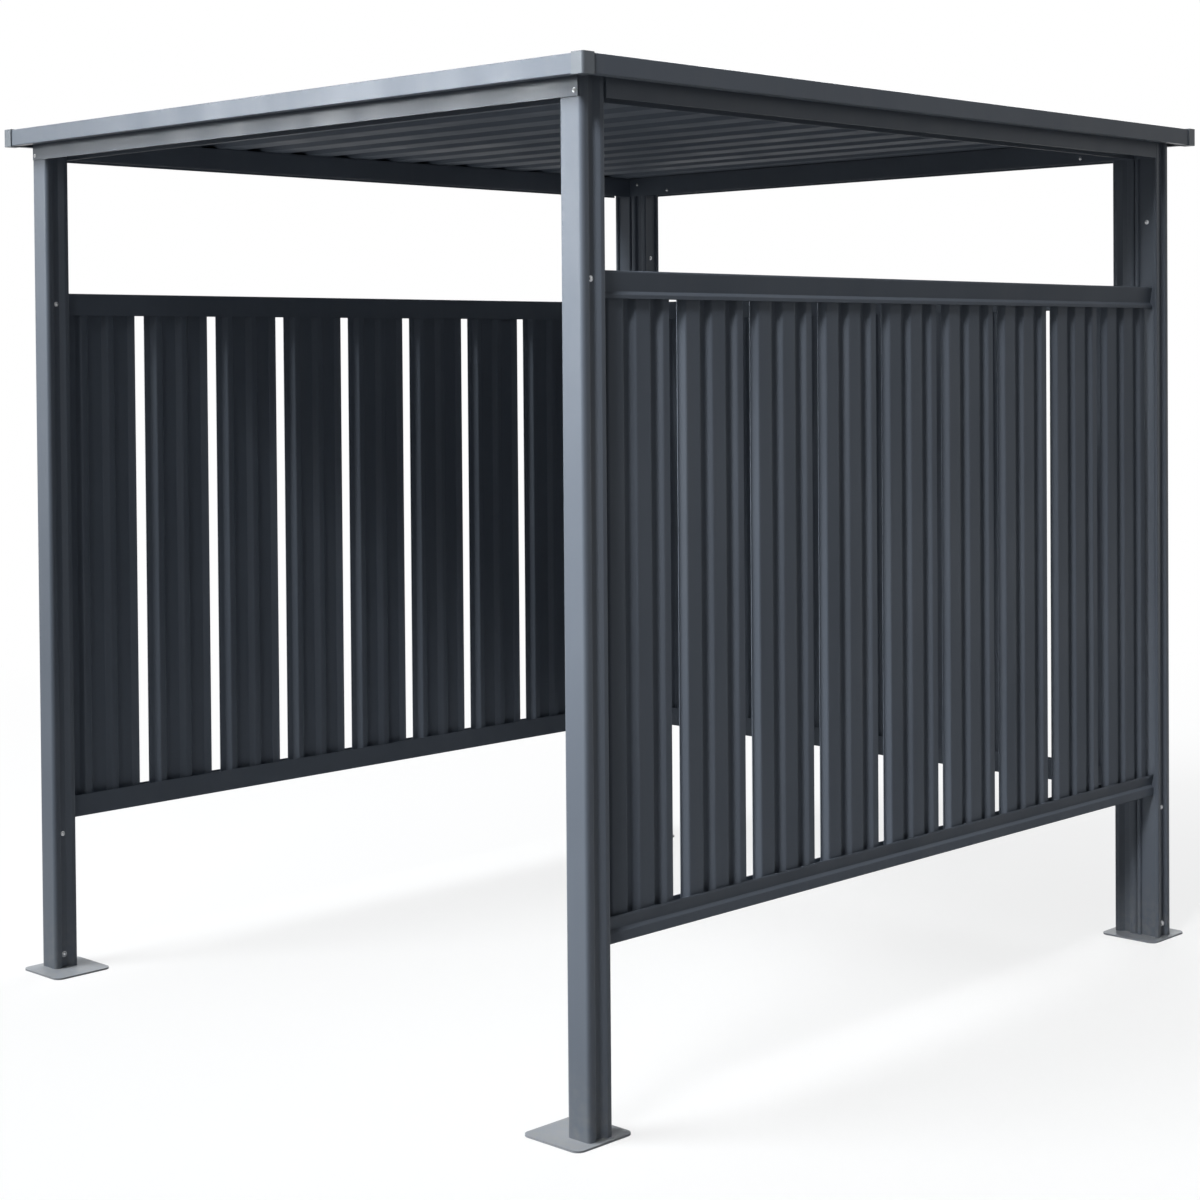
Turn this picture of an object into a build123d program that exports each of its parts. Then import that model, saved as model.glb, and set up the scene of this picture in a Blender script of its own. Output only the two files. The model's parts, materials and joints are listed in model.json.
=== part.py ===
from build123d import *
import math
import os

# A bike shelter of folded steel: four corner feet, six posts, three ribbed walls and a flat ribbed roof.
# X runs to the right along the open front, Y to the rear wall and Z up, in millimetres.
# The origin is on the ground, under the middle of the roof.

# Whole shelter, over the corner caps of the roof
overall_width = 1930.0
overall_depth = 2160.0
overall_height = 2000.0

# Room between pieces that slide together, and how far a cut runs past what it cuts
fit_gap = 0.3
cut_overrun = 5.0

# How many flats make up a fold; the inner radius of the folds is given with each kind of sheet
bend_flats = 2

# Roof edge: trim and corner caps
fascia_height = 38.0
fascia_lip = 20.0
fascia_sheet = 1.5
fascia_bend = 0
cap_wall = 2.5
cap_leg = 30.0
cap_lid = 1.5
cap_corner_radius = 5.0

# How far the roof trim stands out past the posts
side_overhang = 46.0
end_overhang = 43.0

# Posts: a closed rolled section with a plain face, a groove in each side and a shallow channel in the back
post_width = 60.0
post_depth = 60.0
post_sheet = 2.0
post_corner_radius = 9.0
post_bend = 1.5
post_cheek = 18.0
post_groove_depth = 9.0
post_groove_step = 3.0
post_groove_floor = 16.0
post_groove_flare = 11.0
post_channel_width = 40.0
post_channel_depth = 7.0
post_pair_gap = 2.0

# Base plates, each with a stub that the foot of a post slips over
plate_size = 150.0
plate_thickness = 4.0
plate_corner_radius = 18.0
stub_height = 70.0
stub_wall = 3.0

# Top beams: channels that open downwards and drop over the posts
beam_height = 54.0
beam_sheet = 2.0
beam_bend = 0
beam_end_inset = 8.0

# Wall rails: channels that hold the ends of the panels
rail_height = 52.0
rail_width = 28.0
rail_sheet = 1.5
rail_bend = 1.2
rail_hem = 4.0
rail_groove_depth = 6.0
rail_ledge = 6.0
top_rail_lip = 7.0
bottom_rail_lip = 20.0
bottom_rail_clearance = 355.0
top_rail_drop = 316.0

# Ribbed sheet of the walls and the roof
sheet = 1.5
sheet_bend = 4.0
rib_depth = 13.0
wall_rib_crown = 40.0
wall_rib_flank = 10.0
wall_rib_pitch = 75.0
ribs_per_panel = 2
panel_part_crown = 17.5
panel_edge = 2.5
panel_insert = 30.0
side_panel_count = 9
rear_panel_count = 7
roof_rib_crown = 46.0
roof_rib_flank = 14.0
ribs_per_roof_sheet = 3
roof_sheet_count = 5
roof_end_sheet_count = 2


# Turns, in degrees
half_turn = math.degrees(math.pi)
quarter_turn = half_turn / 2

# Places worked out from the sizes above
fascia_half_x = overall_width / 2 - cap_wall
fascia_half_y = overall_depth / 2 - cap_wall
fascia_top = overall_height - cap_lid
fascia_bottom = fascia_top - fascia_height
post_outer_x = fascia_half_x - side_overhang
post_outer_y = fascia_half_y - end_overhang
lap_lift = sheet + fit_gap
roof_underside = fascia_top - fascia_sheet - lap_lift - rib_depth - sheet
beam_bottom = roof_underside - beam_height
beam_half = max(post_width, post_depth) / 2 + fit_gap + beam_sheet
post_height = roof_underside - beam_sheet - plate_thickness
side_post_x = post_outer_x - post_width / 2
end_post_y = post_outer_y - post_depth / 2
back_post_x = post_outer_x - post_width - post_pair_gap - post_depth / 2
pair_middle_x = post_outer_x - (post_width + post_pair_gap + post_depth) / 2
top_rail_bottom = beam_bottom - top_rail_drop - rail_height
bottom_rail_top = bottom_rail_clearance + rail_height


def shifted(points, distance, closed=False):
    """The points moved sideways by a distance, to the left of their run, with mitred corners."""
    moved = []
    last = len(points) - 1
    for i, (x, y) in enumerate(points):
        before = points[i - 1] if i > 0 or closed else None
        after = points[(i + 1) % len(points)] if i < last or closed else None
        normals = []
        for start, end in ((before, (x, y)), ((x, y), after)):
            if start is None or end is None:
                continue
            length = math.dist(start, end)
            normals.append(((start[1] - end[1]) / length, (end[0] - start[0]) / length))
        a, b = normals[0], normals[-1]
        mitre = 1 + a[0] * b[0] + a[1] * b[1]
        moved.append((x + distance * (a[0] + b[0]) / mitre, y + distance * (a[1] + b[1]) / mitre))
    return moved


def bent(points, distance, radii, closed=False):
    """The points moved sideways by a distance, with each fold as a few flats along its arc.

    The radii belong to the unmoved points, so that the two sides of a sheet bend about the same centres."""
    corners = shifted(points, distance, closed)
    moved = []
    for i, corner in enumerate(corners):
        here = Vector(*corner)
        into = (here - Vector(*corners[i - 1])).normalized()
        out = (Vector(*corners[(i + 1) % len(corners)]) - here).normalized()
        turn = math.atan2(into.X * out.Y - into.Y * out.X, into.dot(out))
        radius = radii[i] - math.copysign(distance, distance * turn)
        if not radii[i] or radius <= 0 or not closed and i in (0, len(corners) - 1):
            moved.append(here)
            continue
        start = here - into * radius * math.tan(abs(turn) / 2)
        centre = start + into.rotate(Axis.Z, math.copysign(quarter_turn, turn)) * radius
        arm, step = start - centre, math.degrees(turn) / bend_flats
        moved += [centre + arm.rotate(Axis.Z, k * step) for k in range(bend_flats + 1)]
    return moved


def folded_sheet(path, thickness, bend):
    """The section of a sheet folded along a path, the middle of its thickness, with an inner bend radius."""
    radii = [bend + thickness / 2] * len(path)
    left = bent(path, thickness / 2, radii)
    right = bent(path, -thickness / 2, radii)
    return make_face(Polyline(*left, *reversed(right), close=True))


def mirrored(half):
    """A closed outline from its right half, listed from front to back."""
    return half + [(-x, y) for x, y in reversed(half)]


def along_x(section, length):
    """A section drawn in Y and Z, run out evenly to both sides along X."""
    return extrude(Plane.YZ * section, length / 2, both=True)


def along_y(section, length):
    """A section drawn in X and Z, run out evenly to both sides along Y."""
    return extrude(Plane.XZ * section, length / 2, both=True)


def post_section():
    """The rolled section of a post, with its plain face along the bottom of the sketch."""
    side = post_width / 2
    floor_x = side - post_groove_depth
    floor_start = post_cheek + post_groove_step
    floor_end = floor_start + post_groove_floor
    half = [
        (side, 0),
        (side, post_cheek),
        (floor_x, floor_start),
        (floor_x, floor_end),
        (side, floor_end + post_groove_flare),
        (side, post_depth),
        (post_channel_width / 2, post_depth),
        (post_channel_width / 2, post_depth - post_channel_depth),
    ]
    middle = shifted(mirrored(half), post_sheet / 2, closed=True)
    radii = [post_bend + post_sheet / 2] * len(middle)
    radii[0] = radii[-1] = 0
    outer = make_face(Polyline(*bent(middle, -post_sheet / 2, radii, closed=True), close=True))
    inner = make_face(Polyline(*bent(middle, post_sheet / 2, radii, closed=True), close=True))
    outer = fillet(outer.vertices().sort_by(Axis.Y)[:2], post_corner_radius)
    inner = fillet(inner.vertices().sort_by(Axis.Y)[:2], post_corner_radius - post_sheet)
    return Pos(0, -post_depth / 2) * (outer - inner)


def stub_section():
    """The open square stub that fills the clear middle of a post."""
    width = post_width - 2 * (post_groove_depth + post_sheet + fit_gap)
    depth = post_depth - post_channel_depth - 2 * (post_sheet + fit_gap)
    ring = Rectangle(width, depth) - Rectangle(width - 2 * stub_wall, depth - 2 * stub_wall)
    return Pos(0, -post_channel_depth / 2) * ring


def post(x, y, turn):
    """A post at a place, its plain face turned from the front by an angle."""
    body = extrude(post_section(), post_height)
    return Pos(x, y, plate_thickness) * Rot(0, 0, turn) * body


def base_plate(x, y, posts):
    """A foot plate with a stub for each of the posts that stand on it."""
    plate = extrude(RectangleRounded(plate_size, plate_size, plate_corner_radius), plate_thickness)
    body = Pos(x, y) * plate
    for post_x, post_y, turn in posts:
        stub = extrude(stub_section(), stub_height)
        body += Pos(post_x, post_y, plate_thickness) * Rot(0, 0, turn) * stub
    return body


def beam_section():
    """A channel that opens downwards."""
    leg = beam_half - beam_sheet / 2
    top = beam_height - beam_sheet / 2
    return folded_sheet([(-leg, 0), (-leg, top), (leg, top), (leg, 0)], beam_sheet, beam_bend)


def end_beam(y):
    """The front or rear beam, which ends just inside the outer sides of the posts."""
    length = 2 * (post_outer_x - beam_end_inset)
    return Pos(0, y, beam_bottom) * along_x(beam_section(), length)


def side_beam(side):
    """The left or right beam, between the front and rear beams."""
    length = 2 * (end_post_y - beam_half)
    return Pos(side * side_post_x, 0, beam_bottom) * along_y(beam_section(), length)


def rail_section(lip, opens_up):
    """A channel with a plain inner leg, its outer face drawn in to a ledge above a lip."""
    leg = (rail_width - rail_sheet) / 2
    low = rail_sheet / 2 if opens_up else 0
    high = rail_height if opens_up else rail_height - rail_sheet / 2
    outer = [
        (leg, low),
        (leg, lip),
        (leg - rail_groove_depth, lip + rail_ledge),
        (leg, rail_height - rail_hem),
        (leg, high),
    ]
    path = [(-leg, high), (-leg, low)] + outer if opens_up else [(-leg, low), (-leg, high)] + outer[::-1]
    return folded_sheet(path, rail_sheet, rail_bend)


def rib(middle, crown, flank, lift=0):
    """The four mid-line corners of a rib, grown all round by a lift where it laps over another."""
    slope = math.atan2(rib_depth, flank)
    foot = crown / 2 + flank + lift / math.sin(slope)
    edge = crown / 2 + lift * math.tan(slope / 2)
    top = rib_depth + lift
    return [(middle - foot, 0), (middle - edge, top), (middle + edge, top), (middle + foot, 0)]


def wall_panels(count, clear):
    """Equal panels across a clear width, each from a part rib to a narrow edge, their ribs to the rear."""
    ribs_start = panel_part_crown + wall_rib_flank
    panel_width = ribs_start + ribs_per_panel * wall_rib_pitch + panel_edge
    path = [(0, rib_depth), (panel_part_crown, rib_depth), (ribs_start, 0)]
    for i in range(ribs_per_panel):
        middle = ribs_start + (i + 1) * wall_rib_pitch - wall_rib_flank - wall_rib_crown / 2
        path += rib(middle, wall_rib_crown, wall_rib_flank)
    path.append((panel_width, 0))
    section = Pos(-panel_width / 2, 0) * folded_sheet(path, sheet, sheet_bend)
    length = top_rail_bottom - bottom_rail_top + 2 * panel_insert
    pitch = clear / count
    panel = extrude(section, length)
    return [Pos((i + 1 / 2) * pitch - clear / 2, 0, 0) * panel for i in range(count)]


def wall(clear, count, turn, place):
    """Top rail, bottom rail and panels of a wall, its outer side to the rear before it is turned."""
    seat = post_channel_depth - fit_gap
    length = clear + 2 * seat
    panel_y = rail_width / 2 - rail_groove_depth - rail_sheet - fit_gap - sheet / 2 - rib_depth
    at = place * Rot(0, 0, turn)
    top = at * Pos(0, 0, top_rail_bottom) * along_x(rail_section(top_rail_lip, False), length)
    bottom = at * Pos(0, 0, bottom_rail_clearance) * along_x(rail_section(bottom_rail_lip, True), length)
    panels = [at * Pos(0, panel_y, bottom_rail_top - panel_insert) * p for p in wall_panels(count, clear)]
    return top, bottom, Compound(children=panels)


def roof_sheets():
    """Ribbed sheets across the roof from front to rear, each lapping over the last rib of the one before."""
    half_depth = fascia_half_y - fascia_sheet - fit_gap
    length = 2 * (fascia_half_x - fascia_sheet - fit_gap)
    cover = 2 * half_depth / roof_sheet_count
    pitch = cover / ribs_per_roof_sheet
    sheets = []
    for k in range(roof_sheet_count):
        start = k * cover - half_depth
        path = []
        if k == 0:
            path.append((start, 0))
        else:
            lap = rib(start - pitch / 2, roof_rib_crown, roof_rib_flank, lap_lift)
            share = lap_lift / lap[1][1]
            lap[0] = (lap[0][0] + share * (lap[1][0] - lap[0][0]), lap_lift)
            path += lap
        for i in range(ribs_per_roof_sheet):
            path += rib(start + (i + 1 / 2) * pitch, roof_rib_crown, roof_rib_flank)
        if k == roof_sheet_count - 1:
            path.append((half_depth, 0))
        sheets.append(Pos(0, 0, roof_underside + sheet / 2) * along_x(folded_sheet(path, sheet, sheet_bend), length))
    return sheets


def fascia_section(outward):
    """A trim with a lip at its top and its bottom, both turned inwards."""
    face = -fascia_sheet / 2
    low = fascia_sheet / 2
    high = fascia_height - fascia_sheet / 2
    path = [(-fascia_lip, low), (face, low), (face, high), (-fascia_lip, high)]
    return folded_sheet([(outward * across, up) for across, up in path], fascia_sheet, fascia_bend)


def end_fascia(side):
    """The front or rear trim, which runs the whole width."""
    return Pos(0, side * fascia_half_y, fascia_bottom) * along_x(fascia_section(side), 2 * fascia_half_x)


def side_fascia(side):
    """The left or right trim, which stops at the lips of the front and rear trims."""
    length = 2 * (fascia_half_y - fascia_lip - fit_gap)
    return Pos(side * fascia_half_x, 0, fascia_bottom) * along_y(fascia_section(side), length)


def corner_cap(side_x, side_y, turn):
    """A cap over a corner of the trim, open to the inside."""
    square = Rectangle(cap_leg, cap_leg, align=(Align.MAX, Align.MAX))
    outer_corner = square.vertices().group_by(Axis.X)[-1].sort_by(Axis.Y)[-1]
    block = extrude(fillet(outer_corner, cap_corner_radius), fascia_height + 2 * cap_lid)
    hollow_side = cap_leg + cut_overrun
    hollow = Box(hollow_side, hollow_side, fascia_height, align=(Align.MAX, Align.MAX, Align.MIN))
    body = block - Pos(-cap_wall, -cap_wall, cap_lid) * hollow
    place = Pos(side_x * overall_width / 2, side_y * overall_depth / 2, fascia_bottom - cap_lid)
    return place * Rot(0, 0, turn) * body


front_right = (side_post_x, -end_post_y, 0)
front_left = (-side_post_x, -end_post_y, 0)
rear_right_side = (side_post_x, end_post_y, half_turn)
rear_left_side = (-side_post_x, end_post_y, half_turn)
rear_right_back = (back_post_x, end_post_y, quarter_turn)
rear_left_back = (-back_post_x, end_post_y, -quarter_turn)

side_clear = 2 * (end_post_y - post_depth / 2)
rear_clear = 2 * (back_post_x - post_depth / 2)
left_wall = wall(side_clear, side_panel_count, quarter_turn, Pos(-side_post_x, 0, 0))
right_wall = wall(side_clear, side_panel_count, -quarter_turn, Pos(side_post_x, 0, 0))
rear_wall = wall(rear_clear, rear_panel_count, 0, Pos(0, end_post_y, 0))
sheets = roof_sheets()
last_sheets = roof_sheet_count - roof_end_sheet_count

nodes = {
    "base_plate_front_left": base_plate(-pair_middle_x, -end_post_y, [front_left]),
    "base_plate_front_right": base_plate(pair_middle_x, -end_post_y, [front_right]),
    "base_plate_rear_left": base_plate(-pair_middle_x, end_post_y, [rear_left_side, rear_left_back]),
    "base_plate_rear_right": base_plate(pair_middle_x, end_post_y, [rear_right_side, rear_right_back]),
    "front_left_post": post(*front_left),
    "front_right_post": post(*front_right),
    "rear_left_side_post": post(*rear_left_side),
    "rear_right_side_post": post(*rear_right_side),
    "rear_left_back_post": post(*rear_left_back),
    "rear_right_back_post": post(*rear_right_back),
    "front_beam": end_beam(-end_post_y),
    "rear_beam": end_beam(end_post_y),
    "left_beam": side_beam(-1),
    "right_beam": side_beam(1),
    "left_wall_top_rail": left_wall[0],
    "left_wall_bottom_rail": left_wall[1],
    "left_wall_panels": left_wall[2],
    "right_wall_top_rail": right_wall[0],
    "right_wall_bottom_rail": right_wall[1],
    "right_wall_panels": right_wall[2],
    "rear_wall_top_rail": rear_wall[0],
    "rear_wall_bottom_rail": rear_wall[1],
    "rear_wall_panels": rear_wall[2],
    "roof_sheets_front": Compound(children=sheets[:roof_end_sheet_count]),
    "roof_sheets_middle": Compound(children=sheets[roof_end_sheet_count:last_sheets]),
    "roof_sheets_rear": Compound(children=sheets[last_sheets:]),
    "front_fascia": end_fascia(-1),
    "rear_fascia": end_fascia(1),
    "left_fascia": side_fascia(-1),
    "right_fascia": side_fascia(1),
    "front_left_corner_cap": corner_cap(-1, -1, half_turn),
    "front_right_corner_cap": corner_cap(1, -1, -quarter_turn),
    "rear_left_corner_cap": corner_cap(-1, 1, quarter_turn),
    "rear_right_corner_cap": corner_cap(1, 1, 0),
}

os.makedirs("parts", exist_ok=True)
for name, shape in nodes.items():
    export_step(shape, f"parts/{name}.step")
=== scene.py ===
import bmesh
import bpy
import json
import math
import random
from mathutils import Euler, Matrix, Vector


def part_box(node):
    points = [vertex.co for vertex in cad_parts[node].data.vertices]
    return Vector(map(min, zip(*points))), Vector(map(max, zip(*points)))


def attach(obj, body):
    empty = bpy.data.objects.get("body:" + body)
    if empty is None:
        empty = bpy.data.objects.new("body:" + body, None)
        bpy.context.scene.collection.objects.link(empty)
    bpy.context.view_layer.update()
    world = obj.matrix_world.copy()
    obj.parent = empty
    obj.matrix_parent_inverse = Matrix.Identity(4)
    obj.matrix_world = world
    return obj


# Looks of the bike shelter, in metres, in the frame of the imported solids:
# X to the right along the open front, Y to the rear wall, Z up.
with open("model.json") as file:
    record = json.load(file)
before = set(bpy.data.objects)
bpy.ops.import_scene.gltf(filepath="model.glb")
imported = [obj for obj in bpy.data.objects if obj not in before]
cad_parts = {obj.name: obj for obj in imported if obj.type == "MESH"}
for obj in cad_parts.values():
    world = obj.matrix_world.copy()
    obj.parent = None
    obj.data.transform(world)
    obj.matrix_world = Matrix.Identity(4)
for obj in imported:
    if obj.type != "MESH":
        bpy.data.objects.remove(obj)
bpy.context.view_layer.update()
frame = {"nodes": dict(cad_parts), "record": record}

scene = bpy.context.scene
scene.view_settings.view_transform = "Standard"


# ---------------------------------------------------------------- node helpers

# The Mix node's colour sockets share their names with its other sockets, so they are found by place.
mix_colour_inputs, mix_colour_output = (6, 7), 2


def shader(name):
    """A new material with its node tree, its object coordinates and its principled shader's inputs."""
    material = bpy.data.materials.new(name)
    material.use_nodes = True
    tree = material.node_tree
    where = tree.nodes.new("ShaderNodeTexCoord").outputs["Object"]
    return material, tree, where, tree.nodes["Principled BSDF"].inputs


def noise(tree, vector, scale, detail, run=(1, 1, 1)):
    """Noise at a scale per metre, drawn out along an axis by a run below one."""
    mapping = tree.nodes.new("ShaderNodeMapping")
    mapping.inputs["Scale"].default_value = run
    tree.links.new(vector, mapping.inputs["Vector"])
    node = tree.nodes.new("ShaderNodeTexNoise")
    node.inputs["Scale"].default_value = scale
    node.inputs["Detail"].default_value = detail
    tree.links.new(mapping.outputs["Vector"], node.inputs["Vector"])
    return node.outputs["Fac"]


def mapped(tree, value, band, to):
    """A value carried over from one band to another."""
    node = tree.nodes.new("ShaderNodeMapRange")
    node.inputs["From Min"].default_value, node.inputs["From Max"].default_value = band
    node.inputs["To Min"].default_value, node.inputs["To Max"].default_value = to
    tree.links.new(value, node.inputs["Value"])
    return node.outputs["Result"]


def mixed(tree, amount, first, second):
    """Two colours mixed by an amount; each is a colour or a socket."""
    node = tree.nodes.new("ShaderNodeMix")
    node.data_type = "RGBA"
    tree.links.new(amount, node.inputs["Factor"])
    for place, colour in zip(mix_colour_inputs, (first, second)):
        if isinstance(colour, tuple):
            node.inputs[place].default_value = (*colour, 1)
        else:
            tree.links.new(colour, node.inputs[place])
    return node.outputs[mix_colour_output]


def maths(tree, operation, first, second):
    """Two values joined by an operation."""
    node = tree.nodes.new("ShaderNodeMath")
    node.operation = operation
    tree.links.new(first, node.inputs[0])
    tree.links.new(second, node.inputs[1])
    return node.outputs[0]


def raised(tree, height, distance, strength=1, under=None):
    """A normal bumped by a height over a distance in metres, on top of another normal."""
    bump = tree.nodes.new("ShaderNodeBump")
    bump.inputs["Strength"].default_value = strength
    bump.inputs["Distance"].default_value = distance
    tree.links.new(height, bump.inputs["Height"])
    if under is not None:
        tree.links.new(under, bump.inputs["Normal"])
    return bump.outputs["Normal"]


def blended(tree, amount, first, second):
    """Two shaders blended by an amount."""
    node = tree.nodes.new("ShaderNodeMixShader")
    tree.links.new(amount, node.inputs["Fac"])
    tree.links.new(first.outputs[0], node.inputs[1])
    tree.links.new(second.outputs[0], node.inputs[2])
    return node.outputs[0]


# ---------------------------------------------------------------- materials

# Scales are per metre, bands are the part of a noise that is used, and runs draw a noise out along an axis.
# "Less" and "more" are how far the roughness goes to either side of its middle.
whole, middle_band, wide_band = (0, 1), (0.3, 0.7), (0.2, 0.8)
upright, crosswise = (1, 1, 0.04), (0.05, 1, 1)

patch_scale, patch_detail = 2.6, 3
streak_scale, streak_detail, streak_band, streak_share = 34, 4, (0.5, 0.8), 0.08
dust_height, dust_share = 0.16, 0.5
speck_scale, speck_detail, speck_band, speck_range = 55, 5, (0.35, 0.7), (0.1, 1)
sheen_scale, sheen_detail, sheen_run, sheen_band = 9, 4, (1, 1, 0.3), (0.25, 0.75)
sheen_less, sheen_more = 0.07, 0.09
wave_scale, wave_detail = 5, 2
peel_scale, peel_detail, peel_height, peel_strength = 380, 2, 0.0004, 0.25

tone_scale, tone_detail = 14, 3
grain_scale, grain_detail, grain_height, grain_strength = 900, 3, 0.0003, 0.3
grain_less, grain_more = 0.08, 0.08

cloud_scale, cloud_detail = 420, 4
scratch_scale, scratch_detail, scratch_run = 1600, 2, (1, 0.15, 1)
scratch_less, scratch_more = 0.1, 0.12


def coat(name, greys, rough, level, wave, run=upright):
    """Powder coat: uneven colour, faint streaks along a run, dust at the foot, gentle waves and orange peel."""
    dark, light, dust_and_glint = greys
    material, tree, where, surface = shader(name)
    patches = noise(tree, where, patch_scale, patch_detail)
    colour = mixed(tree, mapped(tree, patches, middle_band, whole), dark, light)
    # Faint streaks in the dust grey along a run; on the roof, where they run along the ribs, they are in part a
    # painted reflection of the light that the ribs catch.
    streaks = noise(tree, where, streak_scale, streak_detail, run)
    colour = mixed(tree, mapped(tree, streaks, streak_band, (0, streak_share)), colour, dust_and_glint)
    height = tree.nodes.new("ShaderNodeSeparateXYZ")
    tree.links.new(where, height.inputs["Vector"])
    low = mapped(tree, height.outputs["Z"], (0, dust_height), (dust_share, 0))
    specks = mapped(tree, noise(tree, where, speck_scale, speck_detail), speck_band, speck_range)
    colour = mixed(tree, maths(tree, "MULTIPLY", low, specks), colour, dust_and_glint)
    tree.links.new(colour, surface["Base Color"])
    sheen = noise(tree, where, sheen_scale, sheen_detail, sheen_run)
    roughness = mapped(tree, sheen, sheen_band, (rough - sheen_less, rough + sheen_more))
    tree.links.new(roughness, surface["Roughness"])
    waves = raised(tree, noise(tree, where, wave_scale, wave_detail), wave)
    peel = raised(tree, noise(tree, where, peel_scale, peel_detail), peel_height, peel_strength, waves)
    tree.links.new(peel, surface["Normal"])
    surface["Specular IOR Level"].default_value = level
    return material


def moulded(name, dark, light, rough):
    """Moulded plastic with a fine matt grain."""
    material, tree, where, surface = shader(name)
    tone = mapped(tree, noise(tree, where, tone_scale, tone_detail), middle_band, whole)
    tree.links.new(mixed(tree, tone, dark, light), surface["Base Color"])
    grain = noise(tree, where, grain_scale, grain_detail)
    roughness = mapped(tree, grain, wide_band, (rough - grain_less, rough + grain_more))
    tree.links.new(roughness, surface["Roughness"])
    tree.links.new(raised(tree, grain, grain_height, grain_strength), surface["Normal"])
    return material


def plated(name, dark, light, rough):
    """Zinc-plated steel with a cloudy, finely scratched surface."""
    material, tree, where, surface = shader(name)
    clouds = mapped(tree, noise(tree, where, cloud_scale, cloud_detail), middle_band, whole)
    tree.links.new(mixed(tree, clouds, dark, light), surface["Base Color"])
    scratches = noise(tree, where, scratch_scale, scratch_detail, scratch_run)
    roughness = mapped(tree, scratches, wide_band, (rough - scratch_less, rough + scratch_more))
    tree.links.new(roughness, surface["Roughness"])
    surface["Metallic"].default_value = 1
    return material


# The greys of a coat are its dark and light patches and the grey of its dust, which also colours its streaks.
coat_greys = (0.130, 0.151, 0.184), (0.150, 0.173, 0.208), (0.25, 0.25, 0.24)
# The foot's greys are about twice as light as the coat's: part dust, part painted light standing for the
# brightly lit flat tops of the base plates.
foot_greys_painted_lit = (0.26, 0.28, 0.312), (0.31, 0.33, 0.362), (0.36, 0.35, 0.33)
anthracite = coat("anthracite_coat", coat_greys, rough=0.38, level=0.20, wave=0.0008)
wall_grey = coat("wall_coat", coat_greys, rough=0.50, level=0.14, wave=0.0008)
# The roof's streaks run along the ribs: part dust, part painted reflection of the light on the ribs' undersides.
roof_grey = coat("roof_coat", coat_greys, rough=0.60, level=0.14, wave=0.0012, run=crosswise)
foot_grey = coat("foot_coat", foot_greys_painted_lit, rough=0.45, level=0.25, wave=0.0003)
cap_grey = moulded("cap_plastic", dark=(0.125, 0.143, 0.165), light=(0.145, 0.165, 0.187), rough=0.5)
zinc = plated("zinc_plate", dark=(0.42, 0.43, 0.45), light=(0.60, 0.61, 0.62), rough=0.38)

slot_finish = {"anthracite_steel": anthracite, "grey_steel": foot_grey, "grey_plastic": cap_grey}
sheet_finish = {"roof_sheets": roof_grey, "_wall_": wall_grey}
slot_of = {row["node"]: row["material_slot"] for row in frame["record"]["subparts"]}
edge_radius = 0.0006
edge_segments = 2
edge_angle = math.radians(35)

for node, piece in frame["nodes"].items():
    own = [finish for word, finish in sheet_finish.items() if word in node]
    piece.data.materials.clear()
    piece.data.materials.append(own[0] if own else slot_finish[slot_of[node]])
    bevel = piece.modifiers.new("edges", "BEVEL")
    bevel.width = edge_radius
    bevel.segments = edge_segments
    bevel.limit_method = "ANGLE"
    bevel.angle_limit = edge_angle
    bevel.harden_normals = False


# ---------------------------------------------------------------- screws and bolts

# The shape of a screw. A plate is a washer's thickness, and a rise is a head's height above its plate.
screw_sides = 36
plate_share = 0.14               # of the washer's radius
plate_edge = 0.75                # of the plate, where its chamfer starts
plate_chamfer = 0.25             # of the plate
head_wall = 0.3                  # of the rise, the upright part below the dome
dome_angles = (0.35, 0.65, 0.9)
rim_share = 0.93                 # of the rise, where the recess starts
recess_share = 0.5               # of the head's radius
recess_taper = 0.82              # of the recess's reach, at its floor
recess_depth = 0.4               # of the rise
recess_tip = 0.45                # of the rise
cross_arm = 0.3                  # of a cross recess's reach
smallest_share = 0.001           # keeps a division from going to zero
smooth_angle = math.radians(40)
turn_seed = 7
turns = random.Random(turn_seed)

# A washer's radius, a head's radius and a head's rise.
post_screw_size = (0.0056, 0.0041, 0.0030)
foot_bolt_size = (0.0072, 0.0058, 0.0046)
beam_screw_size = (0.0045, 0.0034, 0.0026)


def cross_reach(angle, reach):
    """How far a cross recess reaches from its middle at an angle."""
    along = max(abs(math.cos(angle)), smallest_share)
    across = max(abs(math.sin(angle)), smallest_share)
    arm = cross_arm * reach
    return max(min(a / along, b / across) for a, b in ((reach, arm), (arm, reach)))


def hexagon_reach(angle, reach):
    """How far a six-sided recess reaches from its middle at an angle."""
    sector = math.pi / 3
    return reach * math.cos(sector / 2) / math.cos(angle % sector - sector / 2)


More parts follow.
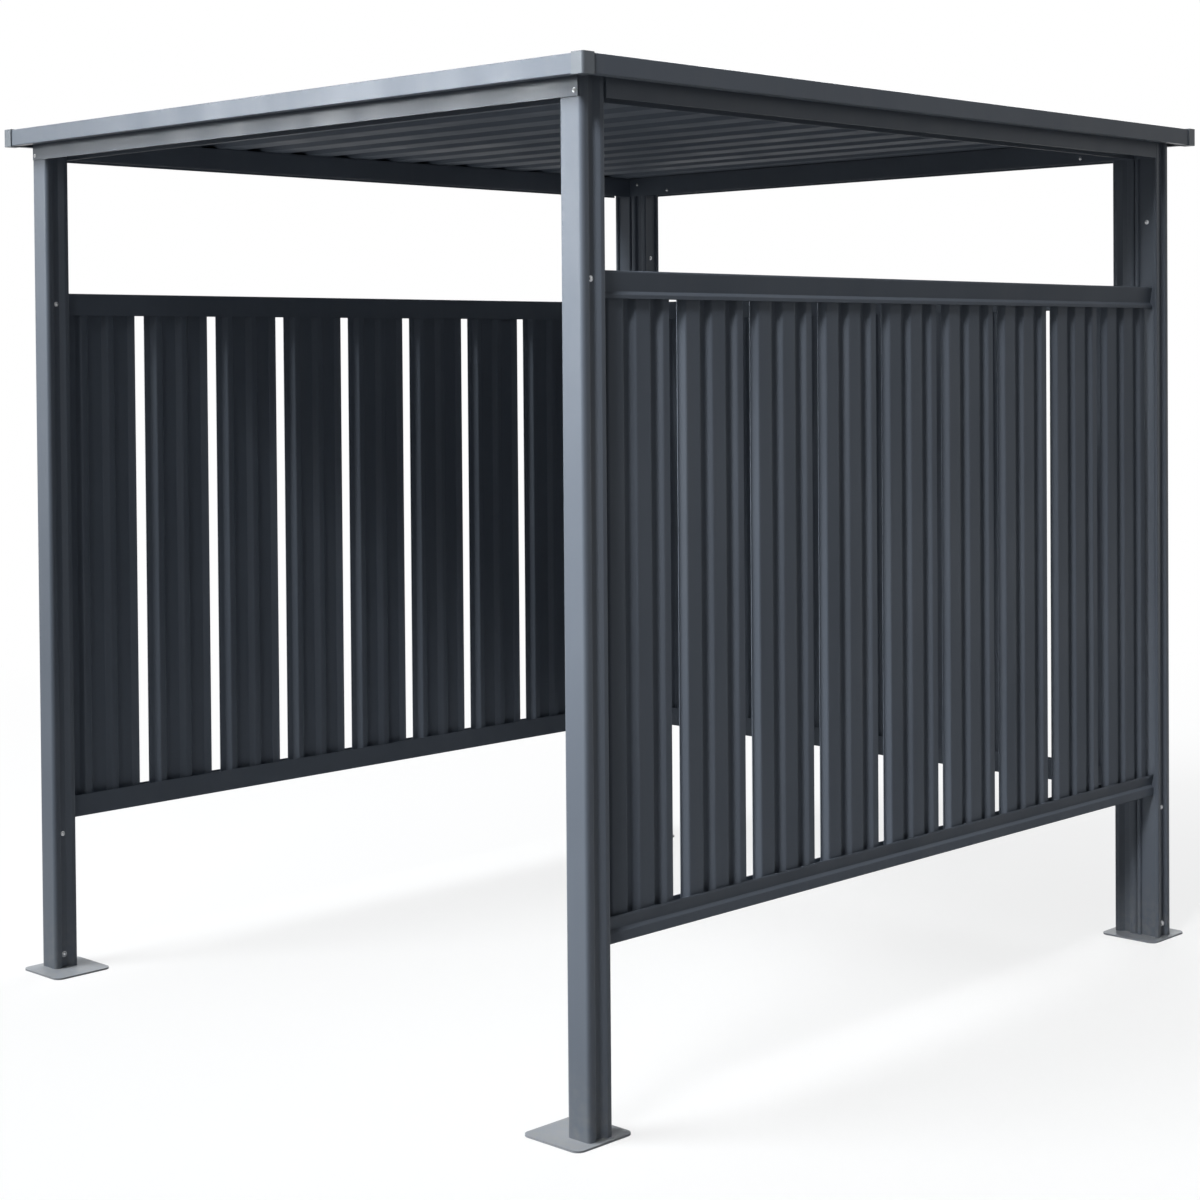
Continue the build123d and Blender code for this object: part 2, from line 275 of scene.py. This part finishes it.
def add_screw(mesh, place, axis, size, recess):
    """A domed head with a recess on a washer, its underside at a place and its head along an axis."""
    washer, head, rise = size
    plate = plate_share * washer
    turn = turns.uniform(0, math.pi)
    rings = [(washer, 0), (washer, plate_edge * plate), (washer - plate_chamfer * plate, plate)]
    rings += [(head, plate), (head, plate + head_wall * rise)]
    rings += [
        (head * math.cos(a), plate + rise * (head_wall + (1 - head_wall) * math.sin(a))) for a in dome_angles
    ]
    rim = plate + rim_share * rise
    at = Matrix.Translation(place) @ Vector(axis).to_track_quat("Z", "Y").to_matrix().to_4x4()
    loops = []
    for i in range(screw_sides):
        angle = 2 * math.pi * i / screw_sides
        reach = recess(angle, recess_share * head)
        profile = rings + [(reach, rim), (recess_taper * reach, rim - recess_depth * rise)]
        along, across = math.cos(angle + turn), math.sin(angle + turn)
        loops.append([mesh.verts.new(at @ Vector((r * along, r * across, z))) for r, z in profile])
    bottom = mesh.verts.new(at @ Vector((0, 0, rim - recess_tip * rise)))
    for i, loop in enumerate(loops):
        other = loops[(i + 1) % screw_sides]
        for k in range(len(loop) - 1):
            mesh.faces.new((loop[k], other[k], other[k + 1], loop[k + 1]))
        mesh.faces.new((loop[-1], other[-1], bottom))
    mesh.faces.new([loop[0] for loop in reversed(loops)])


def screws(name, size, recess, spots):
    """One piece that holds all the screws of a kind, each at a place and along an axis."""
    mesh = bmesh.new()
    for place, axis in spots:
        add_screw(mesh, Vector(place), axis, size, recess)
    data = bpy.data.meshes.new(name)
    mesh.to_mesh(data)
    mesh.free()
    for face in data.polygons:
        face.use_smooth = True
    data.set_sharp_from_angle(angle=smooth_angle)
    data.materials.append(zinc)
    piece = bpy.data.objects.new(name, data)
    scene.collection.objects.link(piece)
    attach(piece, "root")


# Where the screws sit on the posts and beams.
groove_depth, groove_middle = 0.009, 0.029   # of the groove in a post's side, the middle from the near face
channel_depth = 0.007                        # of the channel in a post's back
low_screw_drop = 0.032                       # below the bottom rail
foot_bolt_height = 0.034                     # above the ground
outer_screw_lift = 0.009                     # above the middle of the top rail
side_channel_lift, back_channel_lift = 0.16, 0.132   # above the top rail
beam_end_inset, beam_end_rise = 0.009, 0.0105        # from a beam's end and lower edge
inner_beam_screws = (0.824, 0.034), (0.7035, 0.012)  # from the middle, and above the beam's lower edge

rail_low, rail_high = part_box("left_wall_top_rail")
top_screw = (rail_low[2] + rail_high[2]) / 2
low_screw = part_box("left_wall_bottom_rail")[0][2] - low_screw_drop
forwards, backwards = (0, -1, 0), (0, 1, 0)
post_screws, foot_bolts, beam_screws = [], [], []

for side, word in ((-1, "left"), (1, "right")):
    outwards, inwards = (side, 0, 0), (-side, 0, 0)

    low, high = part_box(f"front_{word}_post")
    outer = side * (max(abs(low[0]), abs(high[0])) - groove_depth)
    inner = side * (min(abs(low[0]), abs(high[0])) + groove_depth)
    y = low[1] + groove_middle
    post_screws.append(((outer, y, top_screw + outer_screw_lift), outwards))
    post_screws += [((inner, y, z), inwards) for z in (top_screw, low_screw)]
    foot_bolts.append(((inner, y, foot_bolt_height), inwards))

    low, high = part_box(f"rear_{word}_side_post")
    y = high[1] - groove_middle
    post_screws.append(((outer, y, low_screw), outwards))
    foot_bolts.append(((outer, y, foot_bolt_height), outwards))
    if side > 0:
        x = (low[0] + high[0]) / 2
        post_screws.append(((x, low[1] + channel_depth, rail_high[2] + side_channel_lift), forwards))

    low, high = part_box(f"rear_{word}_back_post")
    inner = side * (min(abs(low[0]), abs(high[0])) + channel_depth)
    y = (low[1] + high[1]) / 2
    post_screws.append(((inner, y, rail_high[2] + back_channel_lift), inwards))

    low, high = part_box("front_beam")
    beam_screws.append(((side * (high[0] - beam_end_inset), low[1], low[2] + beam_end_rise), forwards))
    low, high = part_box("rear_beam")
    beam_screws.append(((side * (high[0] - beam_end_inset), high[1], low[2] + beam_end_rise), backwards))
    beam_screws += [((side * x, low[1], low[2] + rise), forwards) for x, rise in inner_beam_screws]

screws("post_screws", post_screw_size, cross_reach, post_screws)
screws("foot_bolts", foot_bolt_size, hexagon_reach, foot_bolts)
screws("beam_screws", beam_screw_size, cross_reach, beam_screws)


# ---------------------------------------------------------------- floor and world

floor_size = 120
floor_grey, floor_pale = (0.22, 0.22, 0.22), (0.92, 0.92, 0.92)   # as it lights the scene, and as it is seen
floor_shadow_share = 0.22     # how much of the shadow shows near the middle
floor_fade = (2.0, 6.0)       # from the middle, where the shadow fades out
ambient = 0.045
white = (1, 1, 1)
cool_white, warmer_white, sky_white = (0.95, 0.98, 1.0), (0.97, 0.98, 1.0), (0.93, 0.97, 1.0)


def background_rays(tree):
    """One for the rays that see the background as plain white, zero for the rays that light the scene."""
    rays = tree.nodes.new("ShaderNodeLightPath").outputs
    seen = maths(tree, "MAXIMUM", rays["Is Camera Ray"], rays["Is Glossy Ray"])
    return maths(tree, "MAXIMUM", seen, rays["Is Transmission Ray"])


def backdrop(tree, colour, strength):
    """A background of one colour."""
    node = tree.nodes.new("ShaderNodeBackground")
    node.inputs["Color"].default_value = (*colour, 1)
    node.inputs["Strength"].default_value = strength
    return node


bpy.ops.mesh.primitive_plane_add(size=floor_size, location=(0, 0, 0))
floor = bpy.context.object
floor.name = "floor"
floor_material = bpy.data.materials.new("floor_white")
floor_material.use_nodes = True
floor_tree = floor_material.node_tree
floor_tree.nodes.clear()
floor_seen = background_rays(floor_tree)
floor_matt = floor_tree.nodes.new("ShaderNodeBsdfDiffuse")
floor_colour = mixed(floor_tree, floor_seen, floor_grey, floor_pale)
floor_tree.links.new(floor_colour, floor_matt.inputs["Color"])
floor_glow = floor_tree.nodes.new("ShaderNodeEmission")
floor_glow.inputs["Strength"].default_value = 1
floor_where = floor_tree.nodes.new("ShaderNodeTexCoord")
floor_away = floor_tree.nodes.new("ShaderNodeVectorMath")
floor_away.operation = "LENGTH"
floor_tree.links.new(floor_where.outputs["Object"], floor_away.inputs[0])
floor_plain = mapped(floor_tree, floor_away.outputs["Value"], floor_fade, (1 - floor_shadow_share, 1))
floor_amount = maths(floor_tree, "MULTIPLY", floor_seen, floor_plain)
floor_surface = blended(floor_tree, floor_amount, floor_matt, floor_glow)
floor_out = floor_tree.nodes.new("ShaderNodeOutputMaterial")
floor_tree.links.new(floor_surface, floor_out.inputs["Surface"])
floor.data.materials.append(floor_material)

world = bpy.data.worlds.new("studio")
scene.world = world
world.use_nodes = True
world_tree = world.node_tree
world_tree.nodes.clear()
world_lit = backdrop(world_tree, sky_white, ambient)
world_plain = backdrop(world_tree, white, 1)
world_surface = blended(world_tree, background_rays(world_tree), world_lit, world_plain)
world_out = world_tree.nodes.new("ShaderNodeOutputWorld")
world_tree.links.new(world_surface, world_out.inputs["Surface"])


# ---------------------------------------------------------------- lamps and camera

def softbox(name, place, to, size, watts, colour, beam=180):
    """A soft rectangular lamp that faces a point, its beam narrowed to an angle in degrees."""
    lamp = bpy.data.lights.new(name, "AREA")
    lamp.shape = "RECTANGLE"
    lamp.size, lamp.size_y = size
    lamp.energy = watts
    lamp.color = colour
    lamp.spread = math.radians(beam)
    piece = bpy.data.objects.new(name, lamp)
    piece.location = place
    piece.rotation_euler = (Vector(to) - Vector(place)).to_track_quat("-Z", "Y").to_euler()
    scene.collection.objects.link(piece)


# The key and the sky light the whole. The pool falls on the front trim, the gleam on the right front post
# and the fill on the right wall. The back lamp shows the rear.
softbox("key", (-2.4, -6.2, 8.2), to=(0, -0.8, 1.2), size=(3.6, 2.4), watts=860, colour=cool_white)
softbox("pool", (-3.2, -4.4, 4.0), to=(0.5, -1.05, 2.25), size=(2.0, 1.0), watts=6.5, colour=cool_white, beam=34)
softbox("gleam", (-6.0, -6.8, 2.7), to=(0.7, -1.05, 1.45), size=(1.8, 1.4), watts=9, colour=cool_white, beam=24)
softbox("fill", (2.65, -6.2, 6.8), to=(0.9, 0.3, 0.5), size=(1.6, 1.6), watts=12, colour=warmer_white, beam=27)
softbox("sky", (-2.5, -3.5, 8.0), to=(-2.5, -3.49, 0), size=(8.0, 8.0), watts=180, colour=sky_white)
softbox("back", (-3.6, 7.0, 6.5), to=(0, 0.8, 1.0), size=(4.5, 3.0), watts=420, colour=cool_white)

# The camera was fitted to the photo's posts, rails, feet and roof edges.
camera_lens = 68.52
camera_sensor = 36
camera_shift_y = -0.1667
camera_turn = math.radians(44.058)
camera_tilt = math.radians(-1.100)
camera_roll = math.radians(-0.45)
camera_place = (3.8353, -4.0090, 1.4514)
lens = bpy.data.cameras.new("camera")
lens.lens = camera_lens
lens.sensor_width = camera_sensor
lens.sensor_fit = "HORIZONTAL"
lens.shift_y = camera_shift_y
camera = bpy.data.objects.new("camera", lens)
level_aim = Euler((math.pi / 2 + camera_tilt, 0, camera_turn)).to_matrix()
camera.location = camera_place
camera.rotation_euler = (level_aim @ Matrix.Rotation(camera_roll, 3, "Z")).to_euler()
scene.collection.objects.link(camera)
scene.camera = camera
